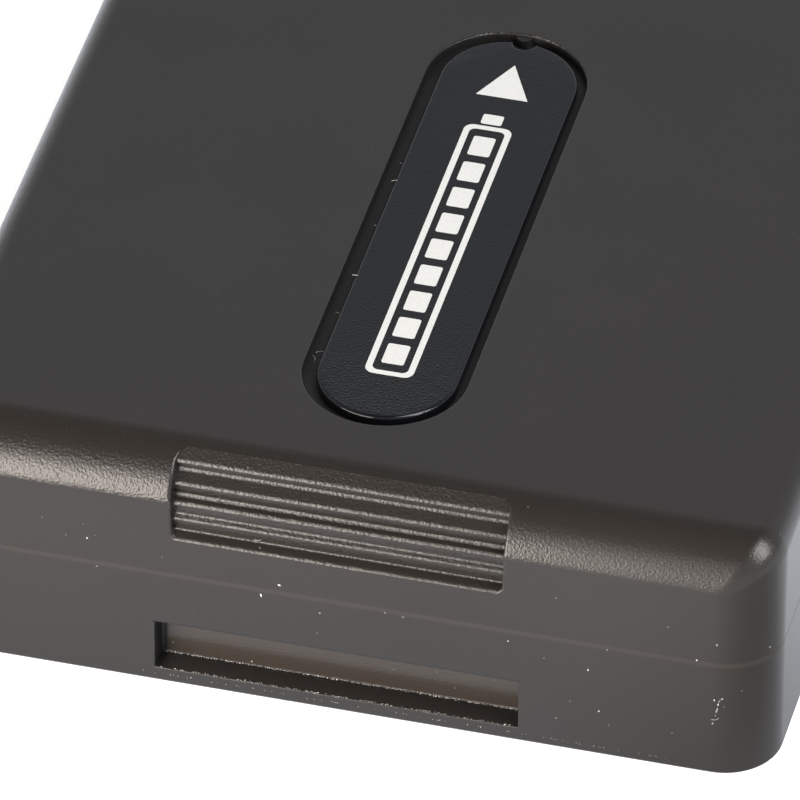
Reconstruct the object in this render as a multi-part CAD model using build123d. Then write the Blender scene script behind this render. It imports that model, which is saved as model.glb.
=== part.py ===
from build123d import *
import os
from math import cos, radians, sin, sqrt

# Slide-on camera battery: a flat moulded case, welded from two halves, around two stacked flat cells.
# Millimetres. The origin is under the middle of the pack, on the face that it rests on.
# +Y is the way that the pack slides on to a camera, so the thumb grip is at the -Y end. +Z is up.

# Cells and what packs them
cell_width = 34.0
cell_length = 41.5
cell_thickness = 5.0
cell_corner_radius = 2.2
cell_gap = 0.2
rivet_height = 0.6
rivet_width = 5.0
weld_pad_width = 3.4
weld_pad_offset = 10.0
cap_feature_depth = 2.6
tape_thickness = 0.2
pad_thickness = 0.2
pad_margin = 3.0
cushion_thickness = 0.5
cushion_height = 8.0
insulator_thickness = 0.15
insulator_margin = 0.4
insulator_cutout_gap = 0.3

# Case walls
base_wall = 1.1
top_wall = 1.1
side_wall = 1.4
far_wall = 1.15
latch_backing = 1.1
guide_backing = 2.0
cavity_corner_radius = 0.8
ledge_height = 5.0

# Outer edges of the case
corner_radius = 2.75
tail_edge_radius = 2.75
tail_edge_lead = 0.06
top_edge_radius = 1.35
base_edge_radius = 0.15

# Welded joint between the halves
tongue_height = 0.8
tongue_thickness = 0.5
tongue_clearance = 0.05
reveal_height = 0.05
reveal_depth = 0.03

# Latch pocket in the tail end, where the camera's catch drops in
latch_width = 17.15
latch_height = 2.65
latch_depth = 1.2
latch_sill = 0.8
latch_round = 0.15
latch_rim_round = 0.1

# Guide grooves along both sides, which slide on the camera's rails
guide_depth = 1.2
guide_height = 1.6
guide_sill = 2.2
guide_length = 34.0
guide_end_radius = 0.65

# Stepped thumb grip, let into the rounded tail edge
grip_width = 15.6
grip_start_angle = 18.5
grip_drop = 4.2
grip_corner_radius = 0.5
grip_runout = 3.2
grip_overcut = 0.7
step_drops = (0.62, 1.505, 2.375, 3.3)
step_insets = (0.28, 0.5, 0.42, 0.36)
step_risers = (0.43, 0.57, 0.63, 0.59)
step_round = 0.3

# Label recess in the top face, and the plate that lies in it
label_width = 7.7
label_length = 30.3
label_start = 5.25
label_depth = 0.55
label_gap = 0.55
label_shift = 0.12
label_edge_round = 0.18
label_rim_round = 0.1
key_radius = 0.4
key_gap = 0.12

# Locating ribs inside the upper half
rib_thickness = 1.0
rib_count = 3
rib_pitch = 13.0
board_stop_offset = 13.5

# Circuit board, and the nickel strips that join it to the cells
board_side_gap = 0.7
board_thickness = 0.8
board_gap = 0.1
tab_thickness = 0.15
tab_width = 2.4
tab_foot_length = 1.7
tap_width = 1.6
tap_reach = 2.2
positive_reach = 4.0
negative_reach = 12.0
cutoff_length = 4.2
cutoff_thickness = 0.8
cutoff_width = 2.2

# Parts on the inner face of the board, each as width and height, and how far they stand out
component_edge = 0.08
component_clearance = 0.15
chip_thickness = 0.85
protection_chip_size = (3.0, 3.0)
gauge_chip_size = (4.0, 4.0)
transistor_size = (3.0, 1.7)
sense_resistor_size = (3.2, 1.6)
sense_resistor_thickness = 0.6
small_part_size = (0.8, 1.6)
resistor_thickness = 0.45
capacitor_thickness = 0.7
thermistor_thickness = 0.8

# Where those parts are, across and up from the middle of the board
protection_chip_place = (-3.0, 2.6)
gauge_chip_place = (3.5, 2.2)
transistor_place = (-10.5, 0.0)
transistor_pitch = 4.0
transistor_count = 2
sense_resistor_place = (-2.0, -0.5)
resistor_place = (8.6, -4.1)
capacitor_place = (8.6, 3.8)
small_part_pitch = 1.7
small_part_count = 4
thermistor_place = (-15.0, -4.0)

# Contacts behind the windows in the far end
contact_count = 3
contact_pitch = 5.2
window_width = 3.0
window_height = 3.4
window_lift = 0.8
window_chamfer = 0.25
contact_margin = 0.35
contact_thickness = 0.4
contact_leg = 0.8
contact_leg_out = 0.3
contact_clearance = 0.05
block_depth = 1.0
block_height = 5.2
block_margin = 1.4

# Sizes that follow from the ones above
component_room = chip_thickness + component_clearance
side_thickness = guide_depth + guide_backing
tail_wall = latch_depth + latch_backing
pack_width = cell_width + 2 * (cell_gap + side_thickness)
board_bay = rivet_height + tab_thickness + component_room + board_thickness + block_depth
pack_length = tail_wall + cushion_thickness + cell_length + board_bay + far_wall
pack_height = base_wall + 2 * pad_thickness + 2 * cell_thickness + tape_thickness + top_wall

tail_face = -pack_length / 2
far_face = pack_length / 2
tail_inside = tail_face + tail_wall
far_inside = far_face - far_wall
ceiling = pack_height - top_wall
cell_start = tail_inside + cushion_thickness
cell_end = cell_start + cell_length
rivet_face = cell_end + rivet_height
tab_face = rivet_face + tab_thickness
board_face = tab_face + component_room
board_back = board_face + board_thickness
lower_cell_base = base_wall + pad_thickness
lower_cell_middle = lower_cell_base + cell_thickness / 2
tape_base = lower_cell_base + cell_thickness
upper_cell_base = tape_base + tape_thickness
upper_cell_middle = upper_cell_base + cell_thickness / 2
upper_cell_top = upper_cell_base + cell_thickness
seam_height = tape_base + tape_thickness / 2
cavity_width = pack_width - 2 * side_wall
bay_width = cell_width + 2 * cell_gap
board_width = bay_width - 2 * board_side_gap
grip_foot = pack_height - grip_drop
label_end = tail_face + label_start + label_length
label_floor = pack_height - label_depth
window_middle = base_wall + window_lift + window_height / 2
contact_places = [(index - (contact_count - 1) / 2) * contact_pitch for index in range(contact_count)]


def slab(x_span, y_span, z_span):
    """Rectangular block between three pairs of limits."""
    block = Box(x_span[1] - x_span[0], y_span[1] - y_span[0], z_span[1] - z_span[0])
    middle = [(span[0] + span[1]) / 2 for span in (x_span, y_span, z_span)]
    return Pos(*middle) * block


def around(middle, size):
    """Limits of a size laid evenly about a middle."""
    return (middle - size / 2, middle + size / 2)


def plan_prism(width, y_span, radius, z_span):
    """Upright block with rounded corners in plan."""
    outline = RectangleRounded(width, y_span[1] - y_span[0], radius)
    return Pos(0, sum(y_span) / 2, z_span[0]) * extrude(outline, z_span[1] - z_span[0])


# Outside of the case: one block with blended top edges, the tail edge rounder than the sides
def case_body():
    prism = plan_prism(pack_width, (tail_face, far_face), corner_radius, (0, pack_height))
    side = Pos(-tail_edge_lead / 2, pack_height / 2) * Rectangle(pack_length + tail_edge_lead, pack_height)
    tail_top = side.vertices().group_by(Axis.X)[0].sort_by(Axis.Y)[-1]
    body = prism & extrude(Plane.YZ * fillet(tail_top, tail_edge_radius), pack_width, both=True)
    # The rounding leads past the tail face a little, so that its shoulder, its creases and the rim of the top
    # make one closed loop of edges, which is blended in one go
    shoulder = body.edges().filter_by(Axis.X).group_by(Axis.Y)[0].sort_by(Axis.Z)[-1]
    plain = (GeomType.LINE, GeomType.CIRCLE)
    creases = [edge for edge in body.edges() if edge.geom_type not in plain]
    rim = body.faces().sort_by(Axis.Z)[-1].edges().sort_by(Axis.Y)[1:]
    body = fillet([shoulder, *creases, *rim], top_edge_radius)
    return fillet(body.faces().sort_by(Axis.Z)[0].edges(), base_edge_radius)


def end_inset(height):
    """How far the rounded tail end lies inside the flat tail face at a height."""
    rise = max(0.0, height - (pack_height - tail_edge_radius))
    return max(0.0, tail_edge_radius - tail_edge_lead - sqrt(tail_edge_radius**2 - rise**2))


# Thumb grip: steps let into the rounded end, each with an upright riser and a sloping tread
def grip_cutter():
    start_angle = radians(grip_start_angle)
    start_y = tail_face - tail_edge_lead + tail_edge_radius * (1 - sin(start_angle))
    start_z = pack_height - tail_edge_radius * (1 - cos(start_angle))
    points = [(start_y, start_z)]
    for drop, inset, riser in zip(step_drops, step_insets, step_risers):
        nose_z = pack_height - drop
        nose_y = tail_face + end_inset(nose_z) + inset
        points.append((nose_y, nose_z))
        points.append((nose_y, nose_z - riser))
    points.append((tail_face, grip_foot))
    outside_y = tail_face - grip_overcut
    points.append((outside_y, grip_foot - grip_runout))
    points.append((outside_y, pack_height + grip_overcut))
    points.append((start_y, pack_height + grip_overcut))
    profile = make_face(FilletPolyline(*points, radius=step_round, close=True))
    steps = extrude(Plane.YZ * profile, grip_width, both=True)
    frame_height = start_z - grip_foot + step_round
    frame = RectangleRounded(grip_width, frame_height, grip_corner_radius)
    frame_middle = start_z - frame_height / 2
    return steps & extrude(Plane.XZ * Pos(0, frame_middle) * frame, pack_length)


# Label: a long slot in the top face, and a plate that a half-round key holds the right way round
def label_slot(gap):
    slot = Rot(0, 0, 90) * SlotOverall(label_length - 2 * gap, label_width - 2 * gap)
    return Pos(0, label_end - label_length / 2, label_floor) * slot


def label_key():
    return Pos(0, label_end, label_floor) * extrude(Circle(key_radius), label_depth - label_rim_round)


def label_plate():
    notch = Pos(0, label_end - label_gap, label_floor) * Circle(key_radius + key_gap)
    plate = Pos(label_shift, 0, 0) * extrude(label_slot(label_gap) - notch, label_depth)
    return fillet(plate.faces().sort_by(Axis.Z)[-1].edges(), label_edge_round)


def cavity(width, z_span):
    """Room inside the case, as wide as given."""
    return plan_prism(width, (tail_inside, far_inside), cavity_corner_radius, z_span)


def tongue_ring(z_span, clearance):
    """Rim that stands between the cavity and the tongue's outer face."""
    reach = tongue_thickness + clearance
    outer = plan_prism(
        cavity_width + 2 * reach,
        (tail_inside - reach, far_inside + reach),
        cavity_corner_radius + reach,
        z_span,
    )
    return outer - cavity(cavity_width, z_span)


def seam_reveal():
    z_span = (seam_height, seam_height + reveal_height)
    outside = slab(around(0, 2 * pack_width), around(0, 2 * pack_length), z_span)
    inset = (tail_face + reveal_depth, far_face - reveal_depth)
    return outside - plan_prism(pack_width - 2 * reveal_depth, inset, corner_radius - reveal_depth, z_span)


# Upper half: label recess and thumb grip outside, locating ribs and the welding tongue inside
def upper_case(body):
    half = body & slab(around(0, pack_width), around(0, pack_length), (seam_height, pack_height))
    half -= cavity(cavity_width, (seam_height, ceiling))
    half -= extrude(label_slot(0), label_depth)
    label_rim = half.faces().sort_by(Axis.Z)[-1].inner_wires()[0]
    half = fillet(label_rim.edges(), label_rim_round) + label_key()
    half -= grip_cutter()
    half -= seam_reveal()
    cell_middle = (cell_start + cell_end) / 2
    for side in (-1, 1):
        rib_x = sorted((side * bay_width / 2, side * cavity_width / 2))
        for index in range(rib_count):
            rib_y = cell_middle + (index - (rib_count - 1) / 2) * rib_pitch
            half += slab(rib_x, around(rib_y, rib_thickness), (seam_height, ceiling))
        stop_x = around(side * board_stop_offset, rib_thickness)
        half += slab(stop_x, (board_back + board_gap, far_inside), (seam_height + board_gap, ceiling))
    tongue = tongue_ring((seam_height - tongue_height, seam_height), 0)
    return half + tongue


def guide_cutter(side):
    """Groove that runs in from the far end and stops in a round end."""
    reach_y = (far_face - guide_length, far_face + guide_height)
    reach_x = sorted((side * (pack_width / 2 - guide_depth), side * (pack_width / 2 + guide_depth)))
    groove = slab(reach_x, reach_y, (guide_sill, guide_sill + guide_height))
    blind_end = groove.faces().sort_by(Axis.Y)[0].edges().filter_by(Axis.X)
    return fillet(blind_end, guide_end_radius)


# Lower half: latch pocket in the tail, guide grooves along the sides, contact windows in the far end
def lower_case(body):
    half = body & slab(around(0, pack_width), around(0, pack_length), (0, seam_height))
    half -= cavity(bay_width, (base_wall, seam_height))
    half -= cavity(cavity_width, (ledge_height, seam_height))
    rebate = (seam_height - tongue_height - tongue_clearance, seam_height)
    half -= tongue_ring(rebate, tongue_clearance)
    latch_span = (latch_sill, latch_sill + latch_height)
    pocket = slab(around(0, latch_width), around(tail_face, 2 * latch_depth), latch_span)
    half -= fillet(pocket.faces().sort_by(Axis.Y)[-1].edges(), latch_round)
    latch_rim = half.faces().filter_by(Axis.Y).sort_by(Axis.Y)[0].inner_wires()[0]
    half = fillet(latch_rim.edges(), latch_rim_round)
    for place in contact_places:
        window_x = around(place, window_width)
        half -= slab(window_x, (far_inside, far_face), around(window_middle, window_height))
    window_rims = half.faces().filter_by(Axis.Y).sort_by(Axis.Y)[-1].inner_wires()
    half = chamfer([edge for rim in window_rims for edge in rim.edges()], window_chamfer)
    for side in (-1, 1):
        half -= guide_cutter(side)
    return half


# Cell: a sealed flat can with its rivet and its weld pad on the far end
def cell(base, pad_side):
    outline = RectangleRounded(cell_width, cell_thickness, cell_corner_radius)
    middle = base + cell_thickness / 2
    can = Plane.XZ * Pos(0, middle) * outline
    solid = Pos(0, cell_end, 0) * extrude(can, cell_length)
    cap_y = (cell_end, rivet_face)
    cap_z = around(middle, cap_feature_depth)
    solid += slab(around(0, rivet_width), cap_y, cap_z)
    return solid + slab(around(pad_side * weld_pad_offset, weld_pad_width), cap_y, cap_z)


def flat_pad(z_base, thickness):
    """Thin sheet on the broad face of a cell."""
    y_span = (cell_start + pad_margin, cell_end - pad_margin)
    return slab(around(0, cell_width - 2 * pad_margin), y_span, (z_base, z_base + thickness))


def tail_cushion():
    x_span = around(0, cell_width - 2 * pad_margin)
    return slab(x_span, (tail_inside, cell_start), around(seam_height, cushion_height))


# Insulating paper over both cell caps, cut out round the rivets and weld pads
def end_insulator():
    z_span = (lower_cell_base + insulator_margin, upper_cell_top - insulator_margin)
    y_span = (cell_end, cell_end + insulator_thickness)
    sheet = slab(around(0, cell_width - 2 * insulator_margin), y_span, z_span)
    cut_z = cap_feature_depth + 2 * insulator_cutout_gap
    for middle, side in ((lower_cell_middle, 1), (upper_cell_middle, -1)):
        rivet_cut = around(0, rivet_width + 2 * insulator_cutout_gap)
        pad_cut = around(side * weld_pad_offset, weld_pad_width + 2 * insulator_cutout_gap)
        for cut_x in (rivet_cut, pad_cut):
            sheet -= slab(cut_x, y_span, around(middle, cut_z))
    return sheet


def bent_tab(start_x, bend_x, z_middle, width):
    """Nickel strip that lies on the cell caps, then steps across to a foot on the board."""
    side = 1 if bend_x > start_x else -1
    z_span = around(z_middle, width)
    strip = slab(sorted((start_x, bend_x)), (rivet_face, tab_face), z_span)
    upright = slab(sorted((bend_x - side * tab_thickness, bend_x)), (rivet_face, board_face), z_span)
    foot_x = sorted((bend_x - side * tab_thickness, bend_x + side * tab_foot_length))
    return strip + upright + slab(foot_x, (board_face - tab_thickness, board_face), z_span)


def negative_tab():
    return bent_tab(rivet_width / 2, -negative_reach, lower_cell_middle, tab_width)


def positive_tab():
    start_x = weld_pad_width / 2 - weld_pad_offset
    return bent_tab(start_x, -weld_pad_offset - positive_reach, upper_cell_middle, tab_width)


# Link between the two cells in series, with a tap to the board
def link_tab():
    leg_x = around(weld_pad_offset, tab_width)
    flat = (rivet_face, tab_face)
    bar = slab((-rivet_width / 2, leg_x[1]), flat, around(upper_cell_middle, tab_width))
    leg_z = (lower_cell_middle - tab_width / 2, upper_cell_middle + tab_width / 2)
    tap = bent_tab(weld_pad_offset, weld_pad_offset + tap_reach, seam_height, tap_width)
    return bar + slab(leg_x, flat, leg_z) + tap


def thermal_cutoff():
    y_span = (tab_face, tab_face + cutoff_thickness)
    body = slab(around(-weld_pad_offset, cutoff_length), y_span, around(upper_cell_middle, cutoff_width))
    return fillet(body.edges().filter_by(Axis.Y), cutoff_width / 4)


def leg_span():
    return (board_face - contact_leg_out, far_inside - contact_thickness)


def leg_holes(y_span):
    """Clearance holes for the contact legs."""
    size = contact_leg + 2 * contact_clearance
    return [slab(around(place, size), y_span, around(window_middle, size)) for place in contact_places]


def circuit_board():
    z_span = (base_wall + board_gap, ceiling - board_gap)
    y_span = (board_face, board_back)
    return slab(around(0, board_width), y_span, z_span) - leg_holes(y_span)


def contact_size(clearance):
    extra = 2 * (contact_margin + clearance)
    return (window_width + extra, window_height + extra)


def terminal_block():
    y_span = (board_back, far_inside)
    width = (contact_count - 1) * contact_pitch + window_width + 2 * block_margin
    block = slab(around(0, width), y_span, (base_wall, base_wall + block_height))
    block -= leg_holes(y_span)
    wide, high = contact_size(contact_clearance)
    seat_y = (far_inside - contact_thickness, far_inside)
    for place in contact_places:
        block -= slab(around(place, wide), seat_y, around(window_middle, high))
    return block


def contact(place):
    wide, high = contact_size(0)
    plate_y = (far_inside - contact_thickness, far_inside)
    plate = slab(around(place, wide), plate_y, around(window_middle, high))
    return plate + slab(around(place, contact_leg), leg_span(), around(window_middle, contact_leg))


def component(place, size, thickness):
    """Moulded part on the inner face of the board, with its upper edges broken."""
    x_span = around(place[0], size[0])
    z_span = around(seam_height + place[1], size[1])
    body = slab(x_span, (board_face - thickness, board_face), z_span)
    return chamfer(body.faces().sort_by(Axis.Y)[0].edges(), component_edge)


def component_row(place, size, thickness, count, pitch):
    """Equal parts side by side, as separate solids of one group."""
    places = [(place[0] + index * pitch, place[1]) for index in range(count)]
    return Compound([component(each, size, thickness) for each in places])


def small_row(place, thickness):
    return component_row(place, small_part_size, thickness, small_part_count, small_part_pitch)


def transistors():
    pair = (transistor_count, transistor_pitch)
    return component_row(transistor_place, transistor_size, chip_thickness, *pair)


case = case_body()
left, middle, right = [contact(place) for place in contact_places]
nodes = {
    "upper_case": upper_case(case),
    "lower_case": lower_case(case),
    "label_plate": label_plate(),
    "upper_cell": cell(upper_cell_base, -1),
    "lower_cell": cell(lower_cell_base, 1),
    "cell_tape": flat_pad(tape_base, tape_thickness),
    "top_pad": flat_pad(upper_cell_top, pad_thickness),
    "bottom_pad": flat_pad(base_wall, pad_thickness),
    "tail_cushion": tail_cushion(),
    "end_insulator": end_insulator(),
    "negative_tab": negative_tab(),
    "positive_tab": positive_tab(),
    "link_tab": link_tab(),
    "thermal_cutoff": thermal_cutoff(),
    "circuit_board": circuit_board(),
    "terminal_block": terminal_block(),
    "negative_contact": left,
    "data_contact": middle,
    "positive_contact": right,
    "protection_chip": component(protection_chip_place, protection_chip_size, chip_thickness),
    "gauge_chip": component(gauge_chip_place, gauge_chip_size, chip_thickness),
    "switch_transistors": transistors(),
    "sense_resistor": component(sense_resistor_place, sense_resistor_size, sense_resistor_thickness),
    "chip_resistors": small_row(resistor_place, resistor_thickness),
    "chip_capacitors": small_row(capacitor_place, capacitor_thickness),
    "thermistor": component(thermistor_place, small_part_size, thermistor_thickness),
}

os.makedirs("parts", exist_ok=True)
for name, solid in nodes.items():
    export_step(solid, f"parts/{name}.step")
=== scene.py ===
import logging
import math
from collections.abc import Callable
from dataclasses import dataclass
from enum import Enum

import bmesh
import bpy
from mathutils import Matrix, Vector


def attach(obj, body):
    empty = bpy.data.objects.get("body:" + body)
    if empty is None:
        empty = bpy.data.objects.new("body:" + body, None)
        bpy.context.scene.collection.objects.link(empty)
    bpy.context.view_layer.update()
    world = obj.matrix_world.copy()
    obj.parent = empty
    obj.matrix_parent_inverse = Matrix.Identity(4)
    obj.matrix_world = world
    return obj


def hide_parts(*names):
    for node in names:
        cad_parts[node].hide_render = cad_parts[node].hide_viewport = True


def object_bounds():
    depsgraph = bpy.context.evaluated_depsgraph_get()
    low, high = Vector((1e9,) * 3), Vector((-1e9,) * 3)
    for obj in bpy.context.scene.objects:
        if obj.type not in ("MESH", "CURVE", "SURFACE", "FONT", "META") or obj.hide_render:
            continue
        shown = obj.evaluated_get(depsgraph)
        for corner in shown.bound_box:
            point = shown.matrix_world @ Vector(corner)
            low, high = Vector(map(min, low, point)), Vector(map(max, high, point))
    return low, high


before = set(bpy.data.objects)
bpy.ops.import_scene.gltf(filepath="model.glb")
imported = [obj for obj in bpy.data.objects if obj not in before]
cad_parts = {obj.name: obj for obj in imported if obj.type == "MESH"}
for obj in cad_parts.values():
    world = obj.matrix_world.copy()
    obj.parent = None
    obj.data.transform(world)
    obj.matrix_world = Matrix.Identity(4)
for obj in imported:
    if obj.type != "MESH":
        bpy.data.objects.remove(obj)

# Slide-on camera battery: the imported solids, dressed in moulded plastic, a glossy label and a little dust.
# Everything is in metres in the frame of the solids. The thumb grip is at -Y and the contacts are at +Y.

CAD_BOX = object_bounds()
LOG = logging.getLogger("camera_battery")
BODY = "root"
MM = 0.001
TAIL_Y = CAD_BOX[0].y
TOP_Z = CAD_BOX[1].z
WELD_MM = 0.0002
NEAR_MM = 0.01

Socket = bpy.types.NodeSocket
Tree = bpy.types.NodeTree
Piece = bpy.types.Object
Shape = bmesh.types.BMesh
Pair = tuple[float, float]
Point = tuple[float, float, float]
# Lowest and highest corner
Box = tuple[Point, Point]
# Least and greatest depth from the tail, then least and greatest height
Strip = tuple[float, float, float, float]

# Sockets that share a name go by number. On a Mix node: its factor, its two numbers, its two colours and
# the mixed colour
FACTOR, FIRST_NUMBER, SECOND_NUMBER, FIRST_COLOUR, SECOND_COLOUR = 0, 2, 3, 6, 7
MIXED_COLOUR = 2
# On a Random Value node: the limits of a vector and of a number, and its results
LEAST_VECTOR, MOST_VECTOR, LEAST_NUMBER, MOST_NUMBER = 0, 1, 2, 3
RANDOM_VECTOR, RANDOM_NUMBER, RANDOM_CHOICE = 0, 1, 3


class Slot(Enum):
    """Names of material slots in the record."""

    CASE = "case_plastic"
    LABEL = "label_plastic"


class Pattern(Enum):
    """How a plain finish breaks up its colour and its surface."""

    SPECKLE = "speckle"
    BRUSHED = "brushed"
    CELLS = "cells"
    TRACES = "traces"


NOISE_DETAIL = {Pattern.SPECKLE: 2.0, Pattern.BRUSHED: 6.0}


def linear(code: str) -> tuple[float, float, float, float]:
    """Linear colour of an sRGB hex value, by the numbers of the sRGB standard.

    Args:
        code: six hex digits, with or without a leading hash.

    Returns:
        Red, green, blue and alpha, from 0 to 1.
    """
    parts = [int(code.lstrip("#")[index:index + 2], 16) / 255 for index in (0, 2, 4)]
    curve = [part / 12.92 if part <= 0.04045 else ((part + 0.055) / 1.055) ** 2.4 for part in parts]
    return (*curve, 1.0)


def per_mm(size: float) -> float:
    """Texture scale at which one cell of a pattern is the given number of millimetres."""
    return 1.0 / (size * MM)


def add_node(tree: Tree, kind: str, inputs: dict | None = None, **settings) -> bpy.types.Node:
    """Adds a node with its settings, and sets or links its inputs.

    Args:
        tree: node tree that takes the node.
        kind: Blender's name of the kind of node.
        inputs: input name or number to a value, or to the output socket that it is linked from.
        settings: properties of the node itself.

    Returns:
        The new node.
    """
    node = tree.nodes.new(kind)
    for name, value in settings.items():
        setattr(node, name, value)
    for key, value in (inputs or {}).items():
        if isinstance(value, Socket):
            tree.links.new(value, node.inputs[key])
        else:
            node.inputs[key].default_value = value
    return node


class Finish:
    """A material made of nodes, with its patterns on Object coordinates in metres."""

    name: str

    def shader(self, tree: Tree, place: Socket) -> Socket:
        """Surface socket of the finish, from Object coordinates."""
        raise NotImplementedError

    def material(self) -> bpy.types.Material:
        """The finish's material, made the first time that it is asked for.

        Returns:
            A node material with the finish's name.
        """
        made = bpy.data.materials.get(self.name)
        if made is None:
            made = bpy.data.materials.new(self.name)
            made.use_nodes = True
            tree = made.node_tree
            tree.nodes.clear()
            place = add_node(tree, "ShaderNodeTexCoord").outputs["Object"]
            add_node(tree, "ShaderNodeOutputMaterial", {"Surface": self.shader(tree, place)})
        return made


# Spark-textured ABS: the mould is spark eroded, so flat faces look smooth and even, and only highlights on
# rounded edges break up into a fine hammered glitter
@dataclass(frozen=True)
class SparkTexturedAbs(Finish):
    """Dark warm grey moulded plastic with a fine hammered grain."""

    name: str = "spark_textured_abs"
    colour: str = "#272320"
    ior: float = 1.5
    rough: Pair = (0.15, 0.22)
    flow_colour: str = "#221f1c"
    flow_mm: float = 9.0
    flow_detail: float = 3.0
    grain_mm: float = 0.13
    grain_detail: float = 2.0
    grain_depth_mm: float = 0.03
    flat_grain: float = 0.35
    flat_facing: Pair = (0.97, 0.999)
    handled_mm: Pair = (5.0, 12.0)
    handled_grain: float = 0.4
    handled_rough: float = 0.27
    # Brown of the painted sheen on the parting line
    seam_sheen_colour: str = "#322c27"
    seam_mm: float = 6.4
    seam_spread_mm: float = 0.22
    # Paler colour painted on the latch pocket's back wall in place of the light it catches, and the box it fills
    pocket_wall_light_colour: str = "#39332e"
    pocket_wall_light_box_mm: Box = ((-8.7, -23.45, 0.9), (8.7, -23.2, 3.6))
    # Nearly black colour and roughness of the painted shade in the boxes below
    painted_shade_colour: str = "#100f0e"
    painted_shade_rough: float = 0.55
    # Boxes of painted shade: the label recess, then the top edge and the left wall of the latch pocket
    painted_shade_boxes_mm: tuple[Box, ...] = (
        ((-4.5, -18.0, 12.0), (4.5, 20.0, 12.76)),
        ((-8.66, -24.52, 3.42), (8.66, -24.38, 3.575)),
        ((-8.62, -24.4, 0.8), (-8.3, -23.3, 3.5)),
    )

    def inside(self, tree: Tree, place: Socket, box: Box) -> Socket:
        """Factor that is 1 inside a box in millimetres and 0 outside it.

        Args:
            tree: the material's node tree.
            place: Object coordinates.
            box: the box.

        Returns:
            The factor's socket.
        """
        axes = add_node(tree, "ShaderNodeSeparateXYZ", {"Vector": place}).outputs
        factor = 1.0
        for axis, low, high in zip("XYZ", *box):
            within = add_node(
                tree, "ShaderNodeMath", {0: axes[axis], 1: (low + high) / 2 * MM, 2: (high - low) / 2 * MM},
                operation="COMPARE",
            ).outputs[0]
            factor = add_node(tree, "ShaderNodeMath", {0: factor, 1: within}, operation="MULTIPLY").outputs[0]
        return factor

    def shader(self, tree: Tree, place: Socket) -> Socket:
        """Surface socket: colour and gloss with faint flow marks, and a hammered bump.

        Args:
            tree: the material's node tree.
            place: Object coordinates.

        Returns:
            The shader's output.
        """
        flow = add_node(
            tree, "ShaderNodeTexNoise",
            {"Vector": place, "Scale": per_mm(self.flow_mm), "Detail": self.flow_detail},
        ).outputs["Fac"]
        axes = add_node(tree, "ShaderNodeSeparateXYZ", {"Vector": place}).outputs
        # The parting line carries a faint brown band: a painted sheen, in place of the light on a narrow chamfer along
        # it
        offset = add_node(tree, "ShaderNodeMath", {0: axes["Z"], 1: self.seam_mm * MM}, operation="SUBTRACT")
        distance = add_node(tree, "ShaderNodeMath", {0: offset.outputs[0]}, operation="ABSOLUTE")
        seam = add_node(
            tree, "ShaderNodeMapRange",
            {"Value": distance.outputs[0], "From Max": self.seam_spread_mm * MM, "To Min": 1.0, "To Max": 0.0},
            interpolation_type="SMOOTHSTEP",
        ).outputs[0]
        # Painted light: the back wall of the latch pocket is painted paler, in place of the light from the front that
        # it catches
        pocket_wall_light = self.inside(tree, place, self.pocket_wall_light_box_mm)
        # Painted shade: the recess under the label and the latch pocket's top edge and left wall are painted nearly
        # black and made duller, where shade falls in them
        dull = 0.0
        for box in self.painted_shade_boxes_mm:
            within = self.inside(tree, place, box)
            dull = add_node(tree, "ShaderNodeMath", {0: dull, 1: within}, operation="ADD").outputs[0]
        colour = linear(self.colour)
        for factor, other in (
            (flow, self.flow_colour), (seam, self.seam_sheen_colour), (pocket_wall_light, self.pocket_wall_light_colour), (dull, self.painted_shade_colour),
        ):
            colour = add_node(
                tree, "ShaderNodeMix", {FACTOR: factor, FIRST_COLOUR: colour, SECOND_COLOUR: linear(other)},
                data_type="RGBA",
            ).outputs[MIXED_COLOUR]
        # The mould's flat faces were polished back a little, so the grain is strongest on the roundings
        normal = add_node(tree, "ShaderNodeTexCoord").outputs["Normal"]
        facing = add_node(tree, "ShaderNodeVectorMath", {0: normal}, operation="ABSOLUTE").outputs[0]
        sides = add_node(tree, "ShaderNodeSeparateXYZ", {"Vector": facing}).outputs
        larger = add_node(tree, "ShaderNodeMath", {0: sides["X"], 1: sides["Y"]}, operation="MAXIMUM")
        largest = add_node(tree, "ShaderNodeMath", {0: larger.outputs[0], 1: sides["Z"]}, operation="MAXIMUM")
        strength = add_node(
            tree, "ShaderNodeMapRange",
            {"Value": largest.outputs[0], "From Min": self.flat_facing[0], "From Max": self.flat_facing[1],
             "To Min": 1.0, "To Max": self.flat_grain},
        ).outputs[0]
        # Fingers pull the pack out by its right-hand corner, and have worn the grain there to a softer gloss
        handled = add_node(
            tree, "ShaderNodeMapRange",
            {"Value": axes["X"], "From Min": self.handled_mm[0] * MM, "From Max": self.handled_mm[1] * MM},
        ).outputs[0]
        worn = add_node(
            tree, "ShaderNodeMapRange", {"Value": handled, "To Min": 1.0, "To Max": self.handled_grain},
        ).outputs[0]
        left = add_node(tree, "ShaderNodeMath", {0: strength, 1: worn}, operation="MULTIPLY").outputs[0]
        dimples = add_node(
            tree, "ShaderNodeTexNoise",
            {"Vector": place, "Scale": per_mm(self.grain_mm), "Detail": self.grain_detail},
        ).outputs["Fac"]
        bump = add_node(
            tree, "ShaderNodeBump",
            {"Strength": left, "Distance": self.grain_depth_mm * MM, "Height": dimples},
        ).outputs[0]
        rough = add_node(
            tree, "ShaderNodeMapRange", {"Value": flow, "To Min": self.rough[0], "To Max": self.rough[1]},
        ).outputs[0]
        for factor, other in ((handled, self.handled_rough), (dull, self.painted_shade_rough)):
            rough = add_node(
                tree, "ShaderNodeMix", {FACTOR: factor, FIRST_NUMBER: rough, SECOND_NUMBER: other},
                data_type="FLOAT",
            ).outputs[0]
        shader = add_node(
            tree, "ShaderNodeBsdfPrincipled",
            {"Base Color": colour, "Roughness": rough, "Normal": bump, "IOR": self.ior},
        )
        return shader.outputs[0]


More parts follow.
